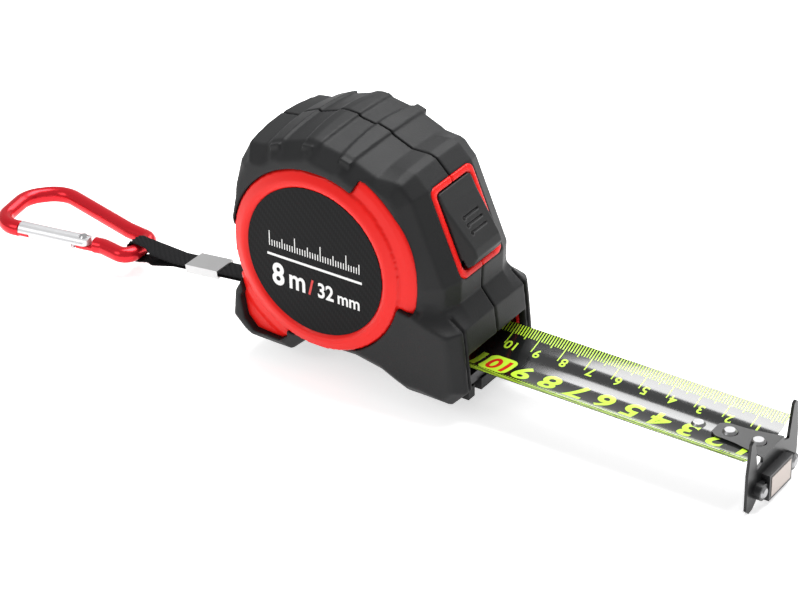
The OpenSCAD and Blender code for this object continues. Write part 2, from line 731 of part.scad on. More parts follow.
// Spring-loaded gate: a full bar between two half-lapped ends
module carabiner_gate() {
    full_0 = wire_r + 1;
    full_1 = gate_l - 4.7;
    color("#d0d0d2") lift() on_gate() difference() {
        intersection() {
            translate([-gate_r, 0, 0]) rotate([0, 90, 0])
                cylinder(r = gate_r, h = gate_l + gate_r - 0.4);
            union() {
                box(0, gate_l, -gate_r, gate_r, -gate_r, gate_r);
                cylinder(r = gate_r, h = gate_r);
            }
        }
        box(-gate_r - 1, full_0, -5, 5, -5, 0.05);
        box(full_1, gate_l + 1, -5, 5, -5, 0.05);
        cylinder(r = 0.9 + fit, h = 20, center = true);
        translate([0, 0, gate_r - 0.5]) cylinder(r = 1.9, h = 2);
        translate([full_0 - 0.5, 0, spring_z]) rotate([0, 90, 0]) cylinder(r = 1.2, h = 8.5);
    }
}

// Small close-wound spring inside the gate, drawn as its rings
module gate_spring() {
    rings = 14;
    pitch = 0.5;
    color(steel_c) lift() on_gate() translate([wire_r + 1.2, 0, spring_z]) rotate([0, 90, 0])
        rotate_extrude() polygon(concat([[0.6, 0]],
            [for (i = [0 : rings - 1]) each [[0.9, i * pitch], [1.05, (i + 0.5) * pitch]]],
            [[0.9, rings * pitch], [0.6, rings * pitch]]));
}

housing_left();
housing_right();
grip_left();
grip_right();
label_left();
label_right();
spool_shaft();
spool_washers();
case_screws();
strap_pin();
mouth_guide();
hook_bumper();
detent_spring();
drum();
drum_cover();
tape_coil();
mainspring();
lock_button();
lock_tongue();
blade_strip();
blade_lead();
blade_rivets();
hook_plate();
magnet_holder();
magnet();
magnet_rivets();
strap();
strap_crimp();
carabiner_body();
gate_pin();
carabiner_gate();
gate_spring();
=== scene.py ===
import math

import bmesh
import bpy
import numpy as np
import openvdb
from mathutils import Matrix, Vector
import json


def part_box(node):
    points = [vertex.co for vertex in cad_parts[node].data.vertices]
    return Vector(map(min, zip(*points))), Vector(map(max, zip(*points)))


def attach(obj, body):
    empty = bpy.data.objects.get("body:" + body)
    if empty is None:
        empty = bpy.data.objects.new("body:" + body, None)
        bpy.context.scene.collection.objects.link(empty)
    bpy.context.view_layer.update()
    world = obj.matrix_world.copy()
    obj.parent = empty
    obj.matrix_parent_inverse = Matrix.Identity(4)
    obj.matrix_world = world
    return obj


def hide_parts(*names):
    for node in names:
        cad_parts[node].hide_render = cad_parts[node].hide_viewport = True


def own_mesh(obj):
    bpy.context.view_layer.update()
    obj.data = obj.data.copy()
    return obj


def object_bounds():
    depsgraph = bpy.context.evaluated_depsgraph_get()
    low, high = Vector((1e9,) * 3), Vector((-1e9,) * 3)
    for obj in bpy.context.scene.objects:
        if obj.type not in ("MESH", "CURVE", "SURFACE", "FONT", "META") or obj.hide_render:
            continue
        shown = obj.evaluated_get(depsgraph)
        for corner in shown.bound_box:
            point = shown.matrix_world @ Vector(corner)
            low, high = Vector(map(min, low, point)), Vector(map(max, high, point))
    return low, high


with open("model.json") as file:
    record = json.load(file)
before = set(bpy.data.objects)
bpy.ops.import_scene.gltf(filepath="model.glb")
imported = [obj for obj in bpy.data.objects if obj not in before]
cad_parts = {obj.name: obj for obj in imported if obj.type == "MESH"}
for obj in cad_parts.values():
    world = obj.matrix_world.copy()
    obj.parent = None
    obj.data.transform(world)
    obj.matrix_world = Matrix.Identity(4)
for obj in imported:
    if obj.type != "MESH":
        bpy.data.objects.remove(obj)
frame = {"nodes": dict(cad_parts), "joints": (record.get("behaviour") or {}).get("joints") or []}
cad_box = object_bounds()
MM = 0.001


# ---------------------------------------------------------------------------
# View: a long lens above and in front of the left side, a pale floor at the
# lowest point of the hook, and three large soft lamps. The two behind the
# tape are what the glossy blade mirrors.
# ---------------------------------------------------------------------------

camera = bpy.data.objects.new("camera", bpy.data.cameras.new("camera"))
camera.data.lens = 137.2
camera.data.sensor_width = 36
camera.data.clip_end = 20
camera.data.shift_x = -0.001
camera.location = (0.4946, -0.7064, 0.5338)
camera.rotation_euler = [math.radians(a) for a in (58.86, 0.553, 33.736)]
bpy.context.scene.collection.objects.link(camera)
bpy.context.scene.camera = camera
bpy.context.scene.view_settings.view_transform = "Standard"


def finish(name, colour, roughness, metallic=0.0, coat=0.0, specular=0.5):
    """A material with its Principled shader, before any pattern is joined to it."""
    material = bpy.data.materials.new(name)
    material.use_nodes = True
    shader = material.node_tree.nodes["Principled BSDF"]
    shader.inputs["Base Color"].default_value = (*colour, 1)
    shader.inputs["Roughness"].default_value = roughness
    shader.inputs["Metallic"].default_value = metallic
    shader.inputs["Coat Weight"].default_value = coat
    shader.inputs["Coat Roughness"].default_value = 0.08
    shader.inputs["Specular IOR Level"].default_value = specular
    return material


bpy.ops.mesh.primitive_plane_add(size=9, location=(0, 0, cad_box[0][2] - 0.0001))
floor = bpy.context.object
floor.name = "floor"
pale_floor = finish("pale_floor", (0.9, 0.9, 0.9), 0.8, specular=0.1)
glow = pale_floor.node_tree.nodes["Principled BSDF"].inputs
glow["Emission Color"].default_value = (1, 1, 1, 1)
glow["Emission Strength"].default_value = 0.6
floor.data.materials.append(pale_floor)

world = bpy.data.worlds.new("studio")
bpy.context.scene.world = world
world.use_nodes = True
sky = world.node_tree.nodes["Background"].inputs
sky["Color"].default_value = (1, 1, 1, 1)
sky["Strength"].default_value = 0.48


def soft_lamp(name, place, size, watts, aim=(0.08, 0, 0.02)):
    """A large rectangular lamp at place, turned towards the middle of the tape."""
    lamp = bpy.data.objects.new(name, bpy.data.lights.new(name, "AREA"))
    lamp.data.shape = "RECTANGLE"
    lamp.data.size, lamp.data.size_y = size
    lamp.data.energy = watts
    lamp.location = place
    lamp.rotation_euler = (Vector(aim) - Vector(place)).to_track_quat("-Z", "Y").to_euler()
    bpy.context.scene.collection.objects.link(lamp)


soft_lamp("lamp_above", (0.04, 0.27, 0.9), (0.74, 0.46), 11)
soft_lamp("lamp_behind", (0.04, 0.72, 0.56), (0.78, 0.2), 3)
soft_lamp("lamp_left", (-0.55, -0.95, 0.75), (0.6, 0.5), 3)


# ---------------------------------------------------------------------------
# Hard housing: two injection-moulded red shells that meet on the centre plane
# and carry the domed ring, the wide front sector, the rear tab and the lock's
# frame. Each is a solid field with moulded fillets, held by the four screws.
# ---------------------------------------------------------------------------

shaft_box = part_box("spool_shaft")
axis_h = (shaft_box[0][2] + shaft_box[1][2]) / 2 / MM     # height of the spool axis, mm
grip_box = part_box("grip_left")
half_w = -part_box("housing_left")[0][1] / MM               # half the width of the case
nose, tail = grip_box[1][0] / MM, grip_box[0][0] / MM     # front and rear faces
foot = grip_box[0][2] / MM - axis_h                       # sole of the feet
LABEL_R, RING_R, SECTOR_R = 26.1, 32.4, 37.7
CELL = 0.5                                                # spacing of the fields' points
FAR = 99.0                                                # distance that takes no part


def smooth_max(a, b, k):
    """The larger of two fields, with a fillet about k mm wide where they cross."""
    h = np.clip(0.5 - 0.5 * (b - a) / k, 0, 1)
    return b + (a - b) * h + k * h * (1 - h)


def smooth_min(a, b, k):
    """The smaller of two fields, with the same fillet."""
    return -smooth_max(-a, -b, k)


def ramp(v, start, stop):
    """0 before start, 1 past stop, and a straight slope between them."""
    return np.clip((v - start) / (stop - start), 0, 1)


def outline_field(points, x, z):
    """Signed distance in mm to a closed outline, negative inside it."""
    nearest = np.full(np.broadcast(x, z).shape, 1e9, np.float32)
    inside = np.zeros(nearest.shape, bool)
    for (ax, az), (bx, bz) in zip(points, points[1:] + points[:1]):
        ex, ez = bx - ax, bz - az
        t = np.clip(((x - ax) * ex + (z - az) * ez) / (ex * ex + ez * ez), 0, 1)
        nearest = np.minimum(nearest, (x - ax - t * ex) ** 2 + (z - az - t * ez) ** 2)
        if az != bz:
            inside ^= ((az > z) != (bz > z)) & (x < ax + (z - az) * ex / (bz - az))
    return np.where(inside, -1, 1) * np.sqrt(nearest)


def grid(low, high, step):
    """Broadcastable x, y and z of a grid of points, in mm."""
    axes = [np.arange(a, b + step, step, dtype=np.float32) for a, b in zip(low, high)]
    return axes[0][:, None, None], axes[1][None, :, None], axes[2][None, None, :]


def new_piece(name, points, faces, material, smooth=True):
    """A mesh object at the origin from points in metres."""
    mesh = bpy.data.meshes.new(name)
    mesh.from_pydata(np.asarray(points, float).tolist(), [], faces)
    mesh.validate()
    if smooth:
        mesh.shade_smooth()
    mesh.materials.append(material)
    piece = bpy.data.objects.new(name, mesh)
    bpy.context.scene.collection.objects.link(piece)
    return piece


def field_piece(name, field, low, step, material, mirror=False):
    """Turns a field on a grid round the spool axis into a closed mesh."""
    band = 3 * step
    cells = openvdb.FloatGrid(band)
    cells.copyFromArray(np.clip(field, -band, band).astype(np.float32))
    points, tris, quads = cells.convertToPolygons(0.0, 0.0)
    points = points * step + np.array(low)
    points[:, 2] += axis_h
    if mirror:
        points[:, 1] *= -1
    faces = [f[::1 if mirror else -1] for f in quads.tolist() + tris.tolist()]
    return new_piece(name, points * MM, faces, material)


lock_top = (36.2, 31.1)                                   # top of the face with the lock
lock_lean = math.radians(23.1)
LOCK_HW, LOCK_L, BAND = 12.0, 31.4, 2.3
lock_end = (lock_top[0] + LOCK_L * math.sin(lock_lean), lock_top[1] - LOCK_L * math.cos(lock_lean))

# The case seen from the left, clockwise from the top rear corner: three raised grip pads
# follow each other over the top, and two feet stand below.
case_outline = [
    (-28.6, 35.4), (-21.6, 36.3), (-19.9, 38.1), (-13.9, 40.8), (-13.2, 40.1), (-6.4, 42.3),
    (-5.5, 43.2), (-2.4, 43.8), (1.6, 43.5), (2.3, 42.6), (8.2, 41.6), (9.0, 42.2), (14.0, 40.8),
    (14.7, 39.8), (21.9, 36.8), (28.5, 36.9), (31.2, 36.0), lock_top, lock_end,
    (nose - 7.3, -5.6), (nose - 2.3, -11.6), (nose - 1.5, -17.6), (nose, foot + 6.3),
    (nose - 5.9, foot), (33, foot), (27.8, foot + 2.1), (22.8, foot + 4.4), (12.7, foot + 6.3),
    (4.2, foot + 6.0), (-6.5, foot + 6.2), (-13.2, foot), (-21, foot), (tail + 7.7, foot + 2.5),
    (tail + 1.3, foot + 8.8), (tail + 0.5, -21.1), (tail + 4, -11.8), (tail + 1.3, -2.8),
    (tail, 6.5), (tail + 1.7, 15), (tail + 2.8, 28)]
tab_outline = [(-12.2, -24), (-12.2, -32.5), (-15.5, -35.0), (-25.5, -34.4), (-29.3, -30.4),
               (-30.7, -22.5), (-29.5, -20.4), (-31.0, -14.2), (-22, -12)]
hollow_outline = [(17.5, 33.8), (22.5, 39.5), (31.5, 38), (45.5, 6), (46.5, -1.5), (39, -8.6),
                  (30, -5), (32, 10), (25, 22), (16, 29.5)]

case_low, case_high = (tail - 2, -half_w - 2, foot - 2), (nose + 2, 1.5, 46)
gx, gy, gz = grid(case_low, case_high, CELL)
side = -gy                                                # distance out from the centre plane
around = np.degrees(np.arctan2(gz, gx))
out_r = np.sqrt(gx * gx + gz * gz)
outline_d = outline_field(case_outline, gx, gz)
lock_s = (gx - lock_top[0]) * math.sin(lock_lean) - (gz - lock_top[1]) * math.cos(lock_lean)
lock_n = (gx - lock_top[0]) * math.cos(lock_lean) + (gz - lock_top[1]) * math.sin(lock_lean)

# Outside of the case: crowned over the rim, falling back beside the lock, with a sloping
# shoulder that is wide on top, narrow behind, and steep beside the mouth
on_front = ramp(gx, 20, 32) * ramp(gz, -12, -4)
at_rear = ramp(-gx, 21, 29) * ramp(-gz, -32, -18)
at_nose = ramp(gx, 40, 50) * ramp(-gz, 4, 12)
crown = 2.0 * (np.clip(side, 0, 20.5) / 20.5) ** 2 * ramp(gz, -30, -18)
crown = crown * (1 - on_front) * (1 - at_nose) + on_front * np.clip(side - 12.4, 0, 12) * 0.4
shoulder_at = 19.8 + 4.0 * at_rear - 1.0 * on_front
slope = 1.05 - 0.3 * at_nose + 1.1 * on_front
rim_d = outline_d + crown
shoulder_d = (rim_d + slope * (side - shoulder_at)) / np.sqrt(1 + slope * slope)
case_d = smooth_max(rim_d, shoulder_d, 0.8)
hollow = ramp(outline_field(hollow_outline, gx, gz), 0.7, -0.9)
case_d = smooth_max(case_d, side - (half_w - 0.7 - 2.6 * hollow), 0.9)
# a square tab at the end of each grip pad, standing out over the shoulder
for tab_x, tab_z in ((-16.3, 37.0), (-3.3, 40.3), (11.2, 39.1)):
    lean = math.atan2(tab_x, tab_z)
    tab_u = (gx - tab_x) * math.cos(lean) - (gz - tab_z) * math.sin(lean)
    tab_n = (gx - tab_x) * math.sin(lean) + (gz - tab_z) * math.cos(lean)
    tab_d = smooth_max(np.abs(tab_u) - 2.1, np.abs(tab_n + 1.2) - 1.2, 0.4)
    tab_d = smooth_max(tab_d, np.abs(side - 20) - 2.2, 0.4)
    case_d = smooth_min(case_d, tab_d, 0.5)
# upright groove in the front face on each side of the mouth
groove_d = np.maximum(np.abs(side - 18.1) - 0.5, gz + 8)
groove_d = np.maximum(groove_d, np.maximum(48 - gx, -(rim_d + 1.3)))
case_d = smooth_max(case_d, -groove_d, 0.5)


def sector_d(radius, start, stop):
    """Distance to a sector between two angles, seen from the left."""
    lower = out_r * np.sin(np.radians(np.clip(start - around, -89, 89)))
    upper = out_r * np.sin(np.radians(np.clip(around - stop, -89, 89)))
    return smooth_max(smooth_max(out_r - radius, lower, 0.8), upper, 0.8)


disc_d = out_r - RING_R
proud_d = smooth_min(disc_d, sector_d(SECTOR_R, -14, 64), 0.6)
proud_d = smooth_min(proud_d, outline_field(tab_outline, gx, gz), 0.6)

# Face of the ring: a lip round the label, a dome, and a step down to the sector and the tab
dome = half_w - 0.35 * np.clip(out_r - 28.6, 0, 9) - 0.8 * np.clip(27.2 - out_r, 0, 1)
skirt = half_w - 1.95 - 0.14 * np.clip(out_r - RING_R, 0, 9)
ring_face = np.where(out_r < RING_R - 0.5, dome, np.minimum(dome, skirt))
ring_face = np.where(out_r < LABEL_R + 0.1, half_w - 1.0, ring_face)
core_d = smooth_max(smooth_max(rim_d + 3.0, side - (half_w - 4), 1.0), case_d + 1.3, 0.5)
red_d = smooth_min(core_d, smooth_max(proud_d, side - ring_face, 0.5), 0.1)


def rounded_frame(half, s0, s1, radius, s=lock_s, across=side):
    """Distance to a rounded rectangle on the face with the lock."""
    ds = np.maximum(s0 - s, s - s1) + radius
    dy = across - half + radius
    return (np.minimum(np.maximum(ds, dy), 0)
            + np.hypot(np.maximum(ds, 0), np.maximum(dy, 0)) - radius)


frame_outer = rounded_frame(LOCK_HW, 0, LOCK_L, 2.8)
frame_inner = rounded_frame(LOCK_HW - BAND, BAND, LOCK_L - BAND, 1.8)
frame_d = smooth_max(frame_outer, np.maximum(lock_n - 0.3, -3.6 - lock_n), 0.5)
red_d = smooth_max(smooth_min(red_d, frame_d, 0.1), -frame_inner, 0.5)

# Inside: room for the coil, the mouth's channel, a bed for the drawn-in blade, and the
# slot of the strap
pin_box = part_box("strap_pin")
pin_x = (pin_box[0][0] + pin_box[1][0]) / 2 / MM
pin_z = (pin_box[0][2] + pin_box[1][2]) / 2 / MM - axis_h
blade_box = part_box("blade_strip")
blade_low, blade_high = (blade_box[k][2] / MM - axis_h for k in (0, 1))
mouth_top = blade_high + 5
DRAWN_IN = -25                                            # just behind the stiff blade, hook home
CHANNEL_FROM, CHANNEL_HW = 40, 16.6                       # channel behind the mouth
SLOT_HW = 4.9                                             # half the width of the strap's slot
cavity_d = np.maximum(np.maximum(rim_d + 4.6, side - (half_w - 6)), case_d + 3.0)
channel_d = np.maximum(np.maximum(CHANNEL_FROM - gx, side - CHANNEL_HW),
                       np.maximum(gz - mouth_top, foot + 1.6 - gz))
drawn_in_d = np.maximum(np.maximum(np.maximum(DRAWN_IN - gx, side - 17), case_d + 1.2),
                        np.maximum(gz - blade_high - 1, blade_low - 1 - gz))
slot_d = np.maximum(np.maximum(gx - pin_x - 3, side - SLOT_HW),
                    np.maximum(gz - pin_z - 8.5, pin_z - 5 - gz))
room_d = np.minimum(np.minimum(cavity_d, channel_d), np.minimum(drawn_in_d, slot_d))
red_d = smooth_max(red_d, -room_d, 0.4)

# Wells for the heads of the four screws, which only the right half has
screw_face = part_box("case_screws")[1][1] / MM
screw_d = np.full(outline_d.shape, FAR, np.float32)
for screw_x, screw_z in ((22.5, 30), (-27, 24.4), (-17.5, foot + 4.6), (36.5, foot + 5)):
    screw_d = np.minimum(screw_d, np.hypot(gx - screw_x, gz - screw_z))
screw_d = np.maximum(screw_d - 2.8, screw_face + 0.05 - side)


def object_pattern(tree, name, move=(0, 0, 0)):
    """Object coordinates through a Mapping node, for a pattern on a piece."""
    mapping = tree.nodes.new("ShaderNodeMapping")
    mapping.name = name
    mapping.inputs["Location"].default_value = move
    tree.links.new(tree.nodes.new("ShaderNodeTexCoord").outputs["Object"], mapping.inputs["Vector"])
    return mapping.outputs["Vector"]


def shader_group(name, inputs, outputs):
    """An empty shader node group; inputs are (name, kind, value), outputs (name, kind)."""
    tree = bpy.data.node_groups.new(name, "ShaderNodeTree")
    for label, kind, value in inputs:
        item = tree.interface.new_socket(label, in_out="INPUT", socket_type=f"NodeSocket{kind}")
        if value is not None:
            item.default_value = value
    for label, kind in outputs:
        tree.interface.new_socket(label, in_out="OUTPUT", socket_type=f"NodeSocket{kind}")
    return tree, tree.nodes.new("NodeGroupInput").outputs, tree.nodes.new("NodeGroupOutput").inputs


# Fine grain of a moulded or cast surface, with slow patches that shift its gloss and shade
grain, g_in, g_out = shader_group(
    "moulded_grain",
    [("Vector", "Vector", None), ("Size", "Float", 2200.0), ("Depth", "Float", 0.1),
     ("Roughness", "Float", 0.5), ("Patch", "Float", 0.06)],
    [("Normal", "Vector"), ("Roughness", "Float"), ("Shade", "Float")])
fine = grain.nodes.new("ShaderNodeTexNoise")
fine.inputs["Detail"].default_value = 3
patch = grain.nodes.new("ShaderNodeTexNoise")
patch.inputs["Scale"].default_value = 55
patch.inputs["Detail"].default_value = 4
bump = grain.nodes.new("ShaderNodeBump")
bump.inputs["Distance"].default_value = 0.0002
spread = grain.nodes.new("ShaderNodeMath")
spread.operation = "MULTIPLY_ADD"
centre = grain.nodes.new("ShaderNodeMath")
centre.operation = "SUBTRACT"
centre.inputs[1].default_value = 0.5
shade = grain.nodes.new("ShaderNodeMath")
shade.operation = "MULTIPLY_ADD"
shade.inputs[2].default_value = 1
grain.links.new(g_in["Vector"], fine.inputs["Vector"])
grain.links.new(g_in["Size"], fine.inputs["Scale"])
grain.links.new(g_in["Vector"], patch.inputs["Vector"])
grain.links.new(g_in["Depth"], bump.inputs["Strength"])
grain.links.new(fine.outputs["Fac"], bump.inputs["Height"])
grain.links.new(patch.outputs["Fac"], centre.inputs[0])
grain.links.new(centre.outputs[0], spread.inputs[0])
grain.links.new(g_in["Patch"], spread.inputs[1])
grain.links.new(g_in["Roughness"], spread.inputs[2])
grain.links.new(centre.outputs[0], shade.inputs[0])
grain.links.new(g_in["Patch"], shade.inputs[1])
grain.links.new(bump.outputs["Normal"], g_out["Normal"])
grain.links.new(spread.outputs[0], g_out["Roughness"])
grain.links.new(shade.outputs[0], g_out["Shade"])


def grained(name, colour, roughness, size=2200.0, depth=0.1, patch=0.08, **look):
    """A material of one colour with a fine grain and slow patches."""
    material = finish(name, colour, roughness, **look)
    tree = material.node_tree
    shader = tree.nodes["Principled BSDF"]
    use = tree.nodes.new("ShaderNodeGroup")
    use.node_tree = grain
    use.inputs["Size"].default_value = size
    use.inputs["Depth"].default_value = depth
    use.inputs["Roughness"].default_value = roughness
    use.inputs["Patch"].default_value = patch
    tint = tree.nodes.new("ShaderNodeMix")
    tint.data_type = "RGBA"
    tint.blend_type = "MULTIPLY"
    tint.inputs["Factor"].default_value = 1
    tint.inputs["A"].default_value = (*colour, 1)
    tree.links.new(object_pattern(tree, "grain_place"), use.inputs["Vector"])
    tree.links.new(use.outputs["Shade"], tint.inputs["B"])
    tree.links.new(tint.outputs["Result"], shader.inputs["Base Color"])
    tree.links.new(use.outputs["Normal"], shader.inputs["Normal"])
    tree.links.new(use.outputs["Roughness"], shader.inputs["Roughness"])
    return material


red_plastic = grained("red_plastic", (0.74, 0.010, 0.007), 0.32, size=3000, depth=0.03,
                      specular=0.22)
for hand in ("left", "right"):
    half_d = np.maximum(red_d, gy + 0.02)
    if hand == "right":
        half_d = smooth_max(half_d, -screw_d, 0.3)
    shell = field_piece(f"housing_shell_{hand}", half_d, case_low, CELL, red_plastic,
                        mirror=hand == "right")
    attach(shell, "case")
    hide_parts(f"housing_{hand}")


# ---------------------------------------------------------------------------
# Rubber grip: soft black skin moulded over each red half, with three pads over
# the top, a hollow beside the front, the feet below and the surround of the
# mouth. It is bonded to the housing, and the two halves meet in a fine seam.
# ---------------------------------------------------------------------------

hard_parts = np.minimum(core_d, proud_d + 0.06 + np.where(side > half_w - 4, 0, FAR))
grip_d = np.maximum(case_d, -hard_parts)
grip_d = smooth_max(grip_d, -(frame_outer + 0.08 + np.where(lock_n > -4, 0, FAR)), 0.4)
grip_d = smooth_max(grip_d, -np.minimum(channel_d, slot_d), 0.9)
seam_lip = smooth_max(grip_d, gy + 0.26, 0.5)

rubber = grained("rubber", (0.0105, 0.0108, 0.0114), 0.54, size=1700, depth=0.22, patch=0.16,
                 specular=0.24)
for hand in ("left", "right"):
    half_d = seam_lip if hand == "left" else smooth_max(seam_lip, -(screw_d - 0.2), 0.4)
    skin = field_piece(f"grip_skin_{hand}", half_d, case_low, CELL, rubber,
                       mirror=hand == "right")
    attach(skin, "case")
    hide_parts(f"grip_{hand}")


# ---------------------------------------------------------------------------
# Labels: a round printed film on each side, glued inside the red ring. It shows
# a woven pattern, a scale, a white rule and the blade's length and width.
# ---------------------------------------------------------------------------

weave, w_in, w_out = shader_group(
    "twill_weave", [("Vector", "Vector", None), ("Pitch", "Float", 0.0008)],
    [("Mask", "Float"), ("Height", "Float")])


def number_node(tree, operation, *values):
    """A Math node's result; each value is a number or another node's output."""
    node = tree.nodes.new("ShaderNodeMath")
    node.operation = operation
    for socket, value in zip(node.inputs, values):
        if isinstance(value, (int, float)):
            socket.default_value = value
        else:
            tree.links.new(value, socket)
    return node.outputs[0]


def two_tone(tree, factor, dark, light):
    """Gives a material's base colour two tones, blended by a mask."""
    blend = tree.nodes.new("ShaderNodeMix")
    blend.data_type = "RGBA"
    blend.inputs["A"].default_value = (*dark, 1)
    blend.inputs["B"].default_value = (*light, 1)
    tree.links.new(factor, blend.inputs["Factor"])
    tree.links.new(blend.outputs["Result"], tree.nodes["Principled BSDF"].inputs["Base Color"])


def woven(tree, vector, pitch):
    """Places the weave in a material, and returns its mask and height."""
    use = tree.nodes.new("ShaderNodeGroup")
    use.node_tree = weave
    use.inputs["Pitch"].default_value = pitch
    tree.links.new(vector, use.inputs["Vector"])
    return use.outputs["Mask"], use.outputs["Height"]


split = weave.nodes.new("ShaderNodeSeparateXYZ")
weave.links.new(w_in["Vector"], split.inputs[0])
across_n = number_node(weave, "DIVIDE", split.outputs["X"], w_in["Pitch"])
along_n = number_node(weave, "DIVIDE", split.outputs["Y"], w_in["Pitch"])
step_n = number_node(weave, "ADD", number_node(weave, "FLOOR", across_n),
                     number_node(weave, "FLOOR", along_n))
over_n = number_node(weave, "LESS_THAN", number_node(weave, "FLOORED_MODULO", step_n, 4), 2)
arch_a = number_node(weave, "PINGPONG", across_n, 0.5)
arch_b = number_node(weave, "PINGPONG", along_n, 0.5)
arch = number_node(weave, "ADD", number_node(weave, "MULTIPLY", arch_a, over_n),
                   number_node(weave, "MULTIPLY", arch_b, number_node(weave, "SUBTRACT", 1, over_n)))
weave.links.new(over_n, w_out["Mask"])
weave.links.new(arch, w_out["Height"])

film = finish("label_film", (0.012, 0.012, 0.013), 0.5, specular=0.12)
tree = film.node_tree
upright = tree.nodes.new("ShaderNodeSeparateXYZ")
tree.links.new(object_pattern(tree, "film_place"), upright.inputs[0])
on_face = tree.nodes.new("ShaderNodeCombineXYZ")
tree.links.new(upright.outputs["X"], on_face.inputs["X"])
tree.links.new(upright.outputs["Z"], on_face.inputs["Y"])
over, height = woven(tree, on_face.outputs[0], 0.0007)
two_tone(tree, number_node(tree, "MULTIPLY", over, height), (0.0016, 0.0016, 0.0019),
         (0.0125, 0.013, 0.0145))


def on_node(node, material, bevel=0.0):
    """Gives a CAD node its material, and eases its edges."""
    piece = frame["nodes"][node]
    piece.data.materials.clear()
    piece.data.materials.append(material)
    piece.data.polygons.foreach_set("material_index", [0] * len(piece.data.polygons))
    if bevel:
        edge = piece.modifiers.new("eased_edges", "BEVEL")
        edge.width = bevel * MM
        edge.segments = 2
        edge.limit_method = "ANGLE"
        edge.angle_limit = math.radians(40)


# A row of ticks: an instance of a bar at each point of a line, longer at every tenth and fifth
tick_row = bpy.data.node_groups.new("tick_row", "GeometryNodeTree")
tick_row.interface.new_socket("Geometry", in_out="INPUT", socket_type="NodeSocketGeometry")
for label, kind, value in (
        ("Count", "Int", 10), ("First", "Int", 0), ("Pitch", "Float", 1.0), ("Width", "Float", 0.3),
        ("Short", "Float", 3.0), ("Middle", "Float", 4.5), ("Long", "Float", 9.0),
        ("Thick", "Float", 0.02), ("Paint", "Material", None)):
    item = tick_row.interface.new_socket(label, in_out="INPUT", socket_type=f"NodeSocket{kind}")
    if value is not None:
        item.default_value = value
tick_row.interface.new_socket("Geometry", in_out="OUTPUT", socket_type="NodeSocketGeometry")


def geometry_node(kind, **settings):
    """A node of the tick row's tree with its settings."""
    node = tick_row.nodes.new(kind)
    for key, value in settings.items():
        setattr(node, key, value)
    return node


t_in = geometry_node("NodeGroupInput").outputs
t_out = geometry_node("NodeGroupOutput").inputs
link = tick_row.links.new
spacing = geometry_node("ShaderNodeCombineXYZ")
link(t_in["Pitch"], spacing.inputs["X"])
line = geometry_node("GeometryNodeMeshLine", mode="OFFSET")
link(t_in["Count"], line.inputs["Count"])
link(spacing.outputs[0], line.inputs["Offset"])
place_n = geometry_node("ShaderNodeMath", operation="ADD")
link(geometry_node("GeometryNodeInputIndex").outputs[0], place_n.inputs[0])
link(t_in["First"], place_n.inputs[1])
lengths = t_in["Short"]
for every, longer in ((5, "Middle"), (10, "Long")):
    left_over = geometry_node("ShaderNodeMath", operation="MODULO")
    left_over.inputs[1].default_value = every
    link(place_n.outputs[0], left_over.inputs[0])
    is_one = geometry_node("ShaderNodeMath", operation="LESS_THAN")
    is_one.inputs[1].default_value = 0.5
    link(left_over.outputs[0], is_one.inputs[0])
    pick = geometry_node("ShaderNodeMix", data_type="FLOAT")
    link(is_one.outputs[0], pick.inputs["Factor"])
    link(lengths, pick.inputs["A"])
    link(t_in[longer], pick.inputs["B"])
    lengths = pick.outputs["Result"]
size_n = geometry_node("ShaderNodeCombineXYZ")
link(t_in["Width"], size_n.inputs["X"])
link(lengths, size_n.inputs["Y"])
link(t_in["Thick"], size_n.inputs["Z"])
bar = geometry_node("GeometryNodeMeshCube")
bar.inputs["Vertices Y"].default_value = 8
from_edge = geometry_node("GeometryNodeTransform")
from_edge.inputs["Translation"].default_value = (0, 0.5, 0.5)
link(bar.outputs["Mesh"], from_edge.inputs["Geometry"])
copies = geometry_node("GeometryNodeInstanceOnPoints")
link(line.outputs["Mesh"], copies.inputs["Points"])
link(from_edge.outputs["Geometry"], copies.inputs["Instance"])
link(size_n.outputs[0], copies.inputs["Scale"])
real = geometry_node("GeometryNodeRealizeInstances")
link(copies.outputs["Instances"], real.inputs["Geometry"])
paint_n = geometry_node("GeometryNodeSetMaterial")
link(real.outputs["Geometry"], paint_n.inputs["Geometry"])
link(t_in["Paint"], paint_n.inputs["Material"])
link(paint_n.outputs["Geometry"], t_out["Geometry"])


def mesh_data(mesh):
    """Points as an array and faces as lists."""
    points = np.empty(len(mesh.vertices) * 3, np.float32)
    mesh.vertices.foreach_get("co", points)
    return points.reshape(-1, 3).astype(float), [list(p.vertices) for p in mesh.polygons]


def ticks(material, **inputs):
    """Points (mm) and faces of a row of ticks that starts at the origin and runs along x."""
    holder = bpy.data.objects.new("tick_holder", bpy.data.meshes.new("tick_holder"))
    bpy.context.scene.collection.objects.link(holder)
    modifier = holder.modifiers.new("ticks", "NODES")
    modifier.node_group = tick_row
    inputs["Paint"] = material
    for item in tick_row.interface.items_tree:
        if item.in_out == "INPUT" and item.name in inputs:
            modifier[item.identifier] = inputs[item.name]
    depsgraph = bpy.context.evaluated_depsgraph_get()
    mesh = bpy.data.meshes.new_from_object(holder.evaluated_get(depsgraph))
    data = mesh_data(mesh)
    bpy.data.objects.remove(holder)
    return data


def cut_across(work, low, high):
    """Cuts a flat mark across at short steps, so that it can bend round the blade."""
    for cut in np.arange(low, high, 0.8):
        bmesh.ops.bisect_plane(work, geom=work.verts[:] + work.edges[:] + work.faces[:],
                               plane_co=(0, cut, 0), plane_no=(0, 1, 0))


